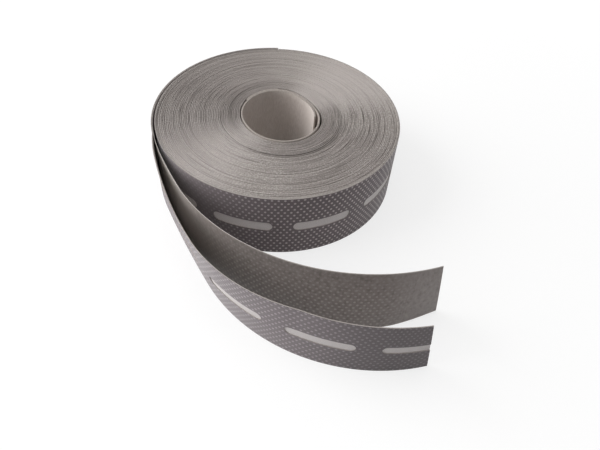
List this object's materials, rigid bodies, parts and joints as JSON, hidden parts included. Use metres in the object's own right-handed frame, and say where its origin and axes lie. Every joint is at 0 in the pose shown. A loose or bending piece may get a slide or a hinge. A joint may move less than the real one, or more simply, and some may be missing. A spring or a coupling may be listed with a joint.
{
  "type": "roll of vented dust tape",
  "caption": "Flat roll of dotted grey filter tape with vent slots on a rolled card core, its free end drawn off and parted from its release liner.",
  "frame": {"origin": "on the roll's axis, level with the lower face that the roll stands on", "axes": "+Z along the roll's axis, up from the lower face; -Y towards the free ends"},
  "size_m": [0.1001, 0.1297, 0.025],
  "materials": {
    "card": "smooth matt card",
    "winding": "cut edges of wound nonwoven",
    "carrier": "point-bonded nonwoven with paler dots",
    "filter": "pale soft felt",
    "adhesive": "satin pressure-sensitive coat",
    "liner": "satin release paper"
  },
  "bodies": {
    "roll": {"core_sleeve": "card", "wound_pack": "winding", "outer_carrier": "carrier", "outer_filter": "filter", "outer_adhesive_upper": "adhesive", "outer_adhesive_lower": "adhesive", "outer_liner": "liner"},
    "lead": {"lead_carrier": "carrier", "lead_filter": "filter", "lead_adhesive_upper": "adhesive", "lead_adhesive_lower": "adhesive", "lead_liner": "liner"},
    "tape_tail": {"tail_carrier": "carrier", "tail_filter": "filter", "tail_adhesive_upper": "adhesive", "tail_adhesive_lower": "adhesive"},
    "liner_tail": {"liner_tail": "liner"}
  },
  "joints": [
    {"name": "unwind", "type": "hinge", "parent": "roll", "child": "lead", "pos_m": [0, 0, 0], "axis": [0, 0, 1], "continuous": true},
    {"name": "tape_peel", "type": "hinge", "parent": "lead", "child": "tape_tail", "pos_m": [-0.04121, -0.01653, 0], "axis": [0, 0, 1], "range_deg": [-90, 0]},
    {"name": "liner_swing", "type": "hinge", "parent": "lead", "child": "liner_tail", "pos_m": [-0.04072, -0.01636, 0], "axis": [0, 0, 1], "range_deg": [0, 5]}
  ]
}
